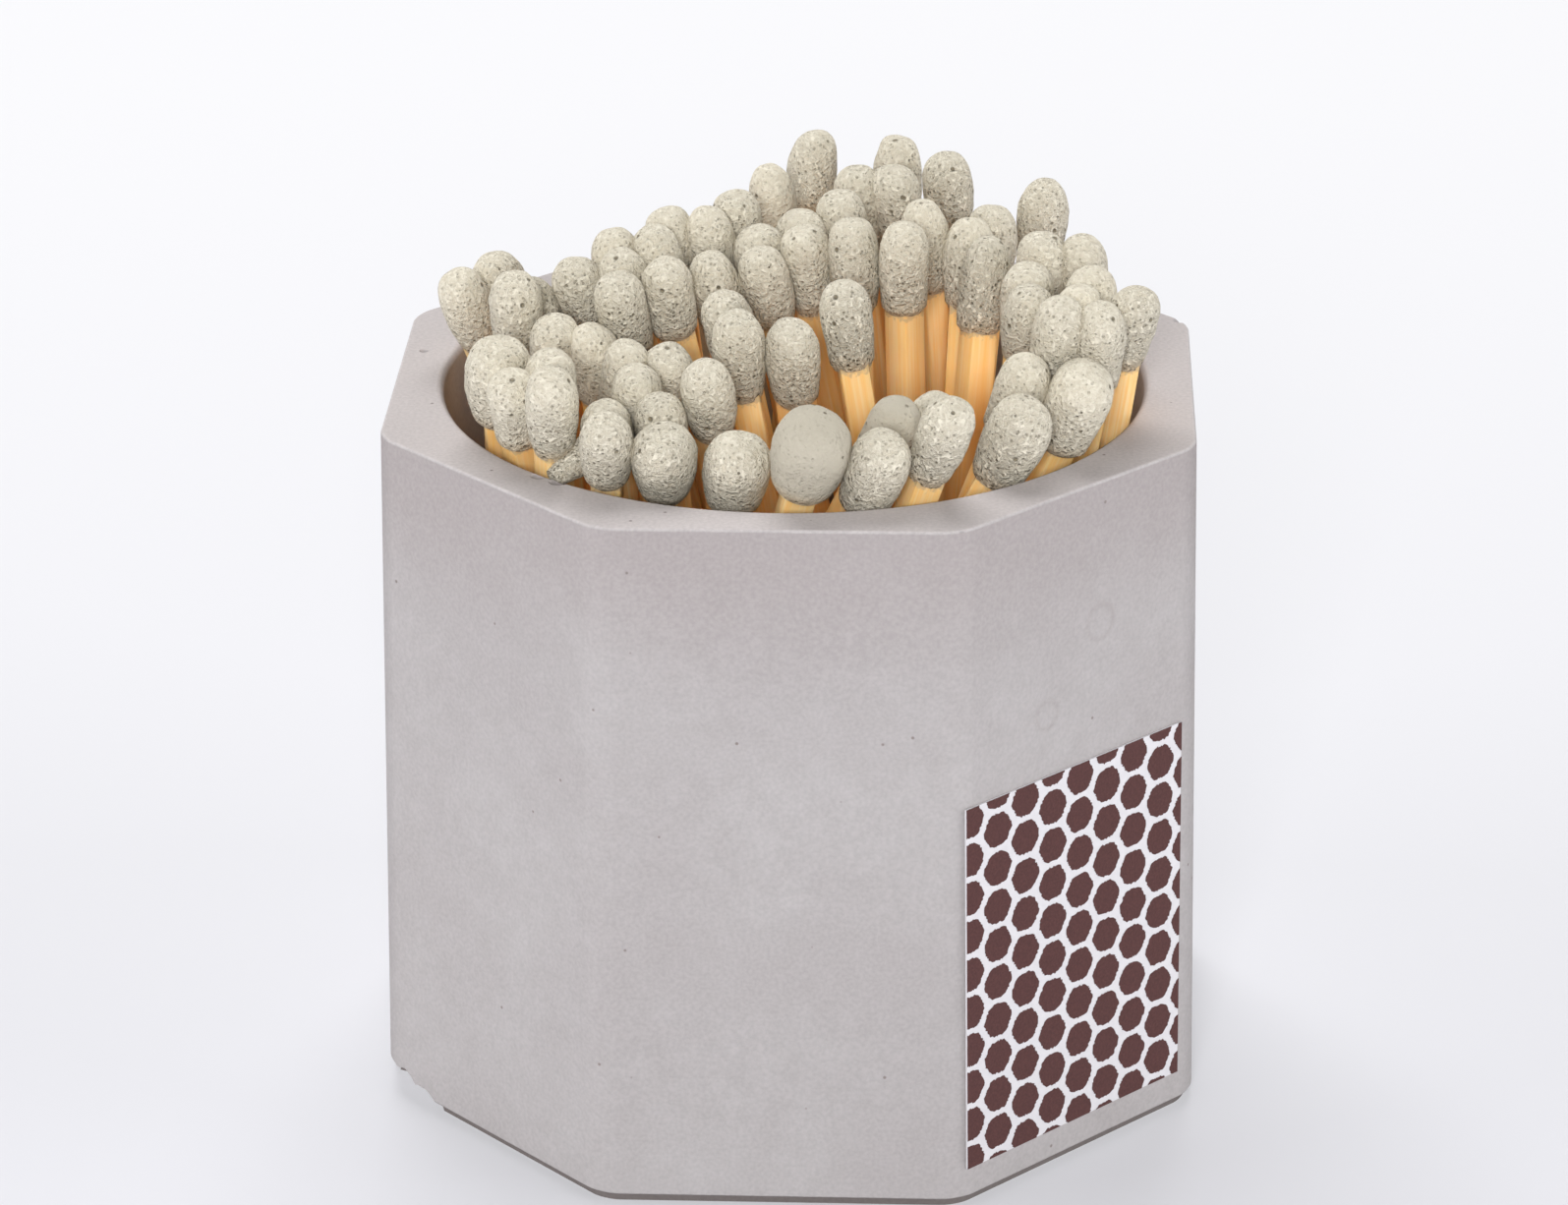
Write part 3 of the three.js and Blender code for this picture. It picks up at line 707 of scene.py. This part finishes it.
def facet_place(pot, patch, glue):
    """Where the label lies: x runs along the facet to the right, y up the facet, z out of it."""
    grow = pot.base_width / pot.rim_width
    rim_distance = (pot.rim_width + pot.facet_width) / 2 / math.sqrt(2)
    base_distance = rim_distance * grow
    slope = math.atan((base_distance - rim_distance) / pot.height)
    facet_width = (pot.rim_width - pot.facet_width) / math.sqrt(2) * grow
    slide = patch.inset + (patch.width - facet_width) / 2
    flat = Matrix.Translation((slide, patch.rise / math.cos(slope), glue))
    lean = Matrix.Rotation(math.pi / 2 - slope, 4, "X")
    out = Matrix.Translation((0, -base_distance, 0))
    turn = Matrix.Rotation(math.pi / 4, 4, "Z")
    return turn @ out @ lean @ flat


# Bounds within which the matches differ: the neck's width and the belly's height as shares of the head's, the
# power that blunts its round end, its length, lumps in mm, squash and foam, and the warmth of the stick
NECK, BELLY, BLUNT = (0.7, 0.86), (0.54, 0.68), (0.58, 0.8)
HEAD_SHARE, LUMPS, SQUASH = (0.87, 1.09), (0.1, 0.2), (0.93, 1.04)
FOAM, WARMTH = (0.7, 1.15), (0.0, 0.35)


def foot_points(node, axis):
    """The corners of a match's sawn foot, each once."""
    heights = [v.co.dot(axis) for v in node.data.vertices]
    low, slack = min(heights), 0.02 * MM
    found = {}
    for vert, height in zip(node.data.vertices, heights):
        if height < low + slack:
            found[tuple(round(c / MM, 2) for c in vert.co)] = vert.co.copy()
    return list(found.values())


def flat_side(corners, axis):
    """The way that the widest flat of a stick's section looks."""
    middle = sum(corners, Vector()) / len(corners)
    frame_x = (corners[0] - middle).normalized()
    frame_y = axis.cross(frame_x)
    ordered = sorted(corners, key=lambda c: math.atan2((c - middle).dot(frame_y), (c - middle).dot(frame_x)))
    sides = list(zip(ordered, ordered[1:] + ordered[:1]))
    first, second = max(sides, key=lambda pair: (pair[0] - pair[1]).length)
    return ((first + second) / 2 - middle).normalized()


def match_lines(name, axis):
    """Each stick in a match node: its foot, the way its side looks, its length and its head's radius."""
    node = frame["nodes"][name]
    corners = foot_points(node, axis)
    middle = sum(corners, Vector()) / len(corners)
    groups = [corners]
    if name.startswith("twin"):
        far = max(corners, key=lambda c: (c - middle).length) - middle
        groups = [[c for c in corners if (c - middle).dot(far) * way > 0] for way in (1, -1)]
    length = max((v.co - middle).dot(axis) for v in node.data.vertices)
    lines = []
    for group in groups:
        foot = sum(group, Vector()) / len(group)
        own = [v.co - foot for v in node.data.vertices if (v.co - middle).dot(foot - middle) >= 0]
        radius = max(point.cross(axis).length for point in own)
        lines.append((foot, flat_side(group, axis), length, radius))
    return lines


def head_outline(neck, belly, blunt):
    """Points up a head, as shares of its length and radius: a thin edge, a flare, then a round end."""
    rings, edge, edge_height, flare = 9, 0.7, 0.03, 0.8
    points = [(0.0, 0.0), (0.0, edge), (edge_height, (edge + neck) / 2)]
    for k in range(1, rings):
        share = k / rings
        points.append((belly * share, neck + (1 - neck) * math.sin(share * math.pi / 2) ** flare))
    for k in range(rings + 1):
        angle = k / rings * math.pi / 2
        points.append((belly + (1 - belly) * math.sin(angle), abs(math.cos(angle)) ** blunt))
    return points


def add_stick(bm, width, length, chance):
    """A split stick along +Z, not quite square, with its long edges broken."""
    thinnest, broken = 0.94, 0.28 * MM
    stick = bmesh.ops.create_cube(bm, size=1.0)["verts"]
    size = (width * chance.uniform(thinnest, 1.0), width * chance.uniform(thinnest, 1.0), length)
    bmesh.ops.scale(bm, vec=size, verts=stick)
    bmesh.ops.translate(bm, vec=(0, 0, length / 2), verts=stick)
    long_edges = [e for e in bm.edges if abs(e.verts[0].co.z - e.verts[1].co.z) > length / 2]
    bmesh.ops.bevel(
        bm, geom=long_edges, offset=broken, affect="EDGES", segments=2, profile=0.5, material=-1)


def add_head(bm, radius, length, start, chance):
    """A dipped head round the stick's end, spun from its outline. Gives its faces."""
    sides = 32
    outline = head_outline(chance.uniform(*NECK), chance.uniform(*BELLY), chance.uniform(*BLUNT))
    before = set(bm.faces)
    spin_profile(bm, [(radius * out, start + length * along) for along, out in outline], sides)
    verts = {v for f in bm.faces if f not in before for v in f.verts}
    bmesh.ops.remove_doubles(bm, verts=list(verts), dist=WELD)
    faces = [f for f in bm.faces if f not in before]
    bmesh.ops.recalc_face_normals(bm, faces=faces)
    for face in faces:
        face.material_index = 1
    return faces


def any_place(chance):
    """A place far off in a pattern, so that no two matches show the same part of it."""
    return Vector([chance.uniform(-50, 50) for _ in range(3)])


def shape_head(bm, faces, length, start, chance):
    """Swells, flattens and bends a head, each a little differently."""
    verts = list({v for f in faces for v in f.verts})
    shift = any_place(chance)
    lumps = chance.uniform(*LUMPS) * MM
    most_bend = 0.22
    bend = Vector((chance.uniform(-1, 1), chance.uniform(-1, 1), 0)) * most_bend * MM
    squash = chance.uniform(*SQUASH)
    # Lumps, knobs and wrinkles, by how many there are to a millimetre. Wrinkles fade up the head, and all
    # fade down the neck
    lump_count, knob_count, wrinkle_count = 0.38, 1.1, 2.4
    knob_height, wrinkle_height, neck_share = 0.07 * MM, 0.04 * MM, 0.35
    bm.normal_update()
    for vert in verts:
        point = vert.co / MM
        up = (vert.co.z - start) / length
        grown = min(1.0, max(0.0, up / neck_share))
        swell = lumps * noise.noise(point * lump_count + shift)
        swell += knob_height * noise.noise(point * knob_count + shift)
        swell += wrinkle_height * noise.noise(point * wrinkle_count + shift) * (1.2 - up)
        vert.co += vert.normal * swell * (0.25 + 0.75 * grown) + bend * grown * up
        vert.co.x *= 1 + (squash - 1) * grown


# Matches whose heads dried nearly without pores, with their share of foam, and the one with a drip: the way
# that it points and how far up the head it starts
SMOOTH_HEADS = ("match_03", "match_08")
SMOOTH_FOAM = 0.3
DRIP_HEAD = "match_06"
DRIP_WAY = (-0.78, -0.54, -0.4)
DRIP_RISE = 0.45


def add_drip(bm, way, root):
    """A short spout of dried dip that leaves a head at its root and is hollow at its end."""
    length, wide, narrow = 4.5 * MM, 1.55 * MM, 0.62 * MM
    wall, hollow, lump_height, lump_width = 0.16 * MM, 0.5 * MM, 0.05 * MM, 0.9 * MM
    spout = bmesh.ops.create_cone(bm, cap_ends=True, segments=20, radius1=wide, radius2=narrow, depth=length)
    faces = {f for v in spout["verts"] for f in v.link_faces}
    end = max(faces, key=lambda face: face.calc_center_median().z)
    faces.update(bmesh.ops.inset_region(bm, faces=[end], thickness=wall)["faces"])
    bmesh.ops.translate(bm, vec=(0, 0, -hollow), verts=end.verts)
    for face in faces:
        face.material_index = 1
    verts = list({v for f in faces for v in f.verts})
    for vert in verts:
        vert.co += lump_height * noise.noise_vector(vert.co / lump_width)
    turn = way.to_track_quat("Z", "Y").to_matrix().to_4x4()
    place = Matrix.Translation(root) @ turn @ Matrix.Translation((0, 0, length / 2))
    bmesh.ops.transform(bm, matrix=place, verts=verts)


def mark_match(bm, start, foam_share, chance):
    """Notes on each point its place in the grain, its warmth, its foam and its way up the dip."""
    grain = bm.verts.layers.float_vector.new("grain")
    warmth = bm.verts.layers.float.new("warmth")
    foam = bm.verts.layers.float.new("foam")
    dip = bm.verts.layers.float.new("dip")
    shift = any_place(chance)
    stick_warmth = chance.uniform(*WARMTH)
    for vert in bm.verts:
        vert[grain] = vert.co / MM + shift
        vert[warmth] = stick_warmth
        vert[foam] = foam_share
        vert[dip] = (vert.co.z - start) / MM


def make_match(matches, name, line, axis, chance):
    """One match in a bmesh of its own, modelled along +Z and then put in its place."""
    foot, side, length, radius = line
    stand = Matrix((side, axis.cross(side), axis)).transposed()
    head_length = matches.head_length * chance.uniform(*HEAD_SHARE)
    start = length - head_length
    bm = bmesh.new()
    add_stick(bm, matches.stick_width, start + head_length / 2, chance)
    faces = add_head(bm, radius * matches.head_swell, head_length, start, chance)
    shape_head(bm, faces, head_length, start, chance)
    if name == DRIP_HEAD:
        root = Vector((0, 0, start + DRIP_RISE * head_length))
        add_drip(bm, stand.transposed() @ Vector(DRIP_WAY), root)
    foam_share = SMOOTH_FOAM if name in SMOOTH_HEADS else chance.uniform(*FOAM)
    mark_match(bm, start, foam_share, chance)
    bmesh.ops.transform(bm, matrix=Matrix.Translation(foot) @ stand.to_4x4(), verts=bm.verts)
    return bm


class MATCHHOLDER_OT_matches(bpy.types.Operator):
    """Models every match and joined pair of matches: split stick and dipped head"""

    bl_idname = "match_holder.matches"
    bl_label = "Matches"

    def execute(self, context):
        matches = settings("matches")
        noise.seed_set(matches.seed)
        materials = [aspen(matches), dipped_compound(matches)]
        for index, joint in enumerate(frame["joints"]):
            name = joint["child"]
            axis = Vector(joint["axis"]).normalized()
            whole = bmesh.new()
            for strand, line in enumerate(match_lines(name, axis)):
                chance = random.Random(matches.seed + 100 * index + strand)
                join(whole, make_match(matches, name, line, axis, chance))
            piece = finish_piece("wooden_" + name, whole, materials, math.radians(35))
            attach(piece, name)
            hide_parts(name)
        return {"FINISHED"}


def place_camera(stage):
    """Puts the camera where the photograph was taken from."""
    camera = bpy.data.objects.new("camera", bpy.data.cameras.new("camera"))
    bpy.context.scene.collection.objects.link(camera)
    camera.data.sensor_fit = "HORIZONTAL"
    camera.data.sensor_width = 36.0
    camera.data.lens = stage.lens
    camera.data.clip_start = 0.01
    camera.data.clip_end = 10.0
    back = Vector((0, -math.cos(stage.elevation), math.sin(stage.elevation)))
    eye = Vector((stage.aim_across, 0, stage.aim_height)) + back * stage.distance
    tilt = Matrix.Rotation(math.pi / 2 - stage.elevation, 4, "X")
    roll = Matrix.Rotation(-stage.roll, 4, "Z")
    camera.matrix_world = Matrix.Rotation(stage.turn, 4, "Z") @ Matrix.Translation(eye) @ tilt @ roll
    bpy.context.scene.camera = camera


def seen_by_eye(tree):
    """One on rays from the eye, also off gloss and through glass, and zero on the light's own."""
    path = add(tree, "ShaderNodeLightPath").outputs
    seen = add(tree, "ShaderNodeMath", {
        0: path["Is Camera Ray"], 1: path["Is Glossy Ray"]}, operation="MAXIMUM").outputs["Value"]
    seen = add(tree, "ShaderNodeMath", {0: seen, 1: path["Is Transmission Ray"]}, operation="MAXIMUM")
    return seen.outputs["Value"]


def studio_floor(stage):
    """Seamless white paper: matt, and a little whiter far from the eye."""
    material, tree = new_material("studio_paper")
    place = add(tree, "ShaderNodeTexCoord").outputs["Object"]
    away = add(tree, "ShaderNodeSeparateXYZ", {"Vector": place}).outputs["Y"]
    far = add(tree, "ShaderNodeMapRange", {
        "Value": away, "From Min": -0.05, "From Max": 0.2, "To Min": 0.0, "To Max": 1.0})
    colour = add(tree, "ShaderNodeMix", {
        0: far.outputs["Result"], 6: list(stage.floor), 7: linear("#e6e6ea")}, data_type="RGBA")
    paper = add(tree, "ShaderNodeBsdfPrincipled", {
        "Base Color": colour.outputs[2], "Roughness": 0.9, "Specular IOR Level": 0.1})
    # To the eye it is part lit from behind, as a white sweep is, more so far off, and keeps its shadow
    glow = add(tree, "ShaderNodeEmission", {"Color": linear("#fafafc"), "Strength": 1.0})
    lit = add(tree, "ShaderNodeMapRange", {
        "Value": far.outputs["Result"], "From Min": 0.0, "From Max": 1.0, "To Min": 0.28, "To Max": 0.72})
    # From 0.3 m off it fades into the backdrop
    distance = add(tree, "ShaderNodeVectorMath", {0: place}, operation="LENGTH").outputs["Value"]
    edge = add(tree, "ShaderNodeMapRange", {
        "Value": distance, "From Min": 0.3, "From Max": 0.8, "To Min": 0.0, "To Max": 1.0})
    lit = add(tree, "ShaderNodeMath", {
        0: lit.outputs["Result"], 1: edge.outputs["Result"]}, operation="MAXIMUM").outputs["Value"]
    share = add(tree, "ShaderNodeMath", {0: seen_by_eye(tree), 1: lit}, operation="MULTIPLY")
    shader = add(tree, "ShaderNodeMixShader", {
        0: share.outputs["Value"], 1: paper.outputs["BSDF"], 2: glow.outputs["Emission"]})
    add(tree, "ShaderNodeOutputMaterial", {"Surface": shader.outputs["Shader"]})
    return material


def even_light(stage):
    """Faint white light from all round. The eye sees it as the pale end of the sweep."""
    world = bpy.data.worlds.new("even_light")
    world.use_nodes = True
    tree = world.node_tree
    tree.nodes.clear()
    light = add(tree, "ShaderNodeBackground", {"Color": linear("#ffffff"), "Strength": stage.sky})
    sweep = add(tree, "ShaderNodeBackground", {"Color": linear("#f8f8fa"), "Strength": 1.0})
    shader = add(tree, "ShaderNodeMixShader", {
        0: seen_by_eye(tree), 1: light.outputs["Background"], 2: sweep.outputs["Background"]})
    add(tree, "ShaderNodeOutputWorld", {"Surface": shader.outputs["Shader"]})
    return world


def add_lamp(name, power, width, height, place):
    """A soft lamp that looks at the pot."""
    lamp = bpy.data.lights.new(name, "AREA")
    lamp.energy = power
    lamp.shape = "RECTANGLE"
    lamp.size = width
    lamp.size_y = height
    holder = bpy.data.objects.new(name, lamp)
    bpy.context.scene.collection.objects.link(holder)
    aim = (-place).to_track_quat("-Z", "Y").to_matrix().to_4x4()
    holder.matrix_world = Matrix.Translation(place) @ aim


# How far the floor reaches from the pot. Each lamp: its name, the setting with its power, its width, height
# and place. All in metres
FLOOR_REACH = 3.0
LAMPS = [
    ("front_lamp", "front_lamp", 0.25, 0.2, (-0.02, -0.83, 0.37)),
    ("left_lamp", "side_lamp", 0.5, 0.5, (-0.78, -0.15, 0.25)),
    ("right_lamp", "side_lamp", 0.5, 0.5, (0.78, -0.15, 0.25)),
    ("top_lamp", "top_lamp", 0.5, 0.4, (-0.08, 0.44, 0.58)),
]


class MATCHHOLDER_OT_stage(bpy.types.Operator):
    """Sets the camera, the pale floor and the soft light"""

    bl_idname = "match_holder.stage"
    bl_label = "Stage"

    def execute(self, context):
        stage = settings("stage")
        place_camera(stage)
        bm = bmesh.new()
        bmesh.ops.create_grid(bm, x_segments=1, y_segments=1, size=FLOOR_REACH)
        floor = finish_piece("floor", bm, [studio_floor(stage)], math.radians(30))
        context.scene.world = even_light(stage)
        for name, power, width, height, place in LAMPS:
            add_lamp(name, getattr(stage, power), width, height, Vector(place))
        context.scene.view_settings.view_transform = "Standard"
        return {"FINISHED"}


class MATCHHOLDER_PT_panel(bpy.types.Panel):
    """Lists the pieces of the match holder and their settings"""

    bl_idname = "MATCHHOLDER_PT_panel"
    bl_label = "Match holder"
    bl_space_type = "VIEW_3D"
    bl_region_type = "UI"
    bl_category = "Match holder"

    def draw(self, context):
        for kind, operator in (
                ("pot", MATCHHOLDER_OT_pot), ("patch", MATCHHOLDER_OT_patch),
                ("matches", MATCHHOLDER_OT_matches), ("stage", MATCHHOLDER_OT_stage)):
            box = self.layout.box()
            box.operator(operator.bl_idname)
            group = settings(kind)
            for name in group.__annotations__:
                box.prop(group, name)


GROUPS = {"pot": PotSettings, "patch": PatchSettings, "matches": MatchSettings, "stage": StageSettings}
CLASSES = (
    *GROUPS.values(), MATCHHOLDER_OT_pot, MATCHHOLDER_OT_patch, MATCHHOLDER_OT_matches, MATCHHOLDER_OT_stage,
    MATCHHOLDER_PT_panel,
)


def register():
    """Adds the classes and the scene's settings."""
    for item in CLASSES:
        bpy.utils.register_class(item)
    for kind, group in GROUPS.items():
        setattr(bpy.types.Scene, "match_holder_" + kind, PointerProperty(type=group))


def unregister():
    """Takes the settings and the classes away again."""
    for kind in GROUPS:
        delattr(bpy.types.Scene, "match_holder_" + kind)
    for item in reversed(CLASSES):
        bpy.utils.unregister_class(item)


def main():
    """Builds everything in order."""
    register()
    bpy.ops.match_holder.stage()
    bpy.ops.match_holder.pot()
    bpy.ops.match_holder.patch()
    bpy.ops.match_holder.matches()


if __name__ == "__main__":
    main()
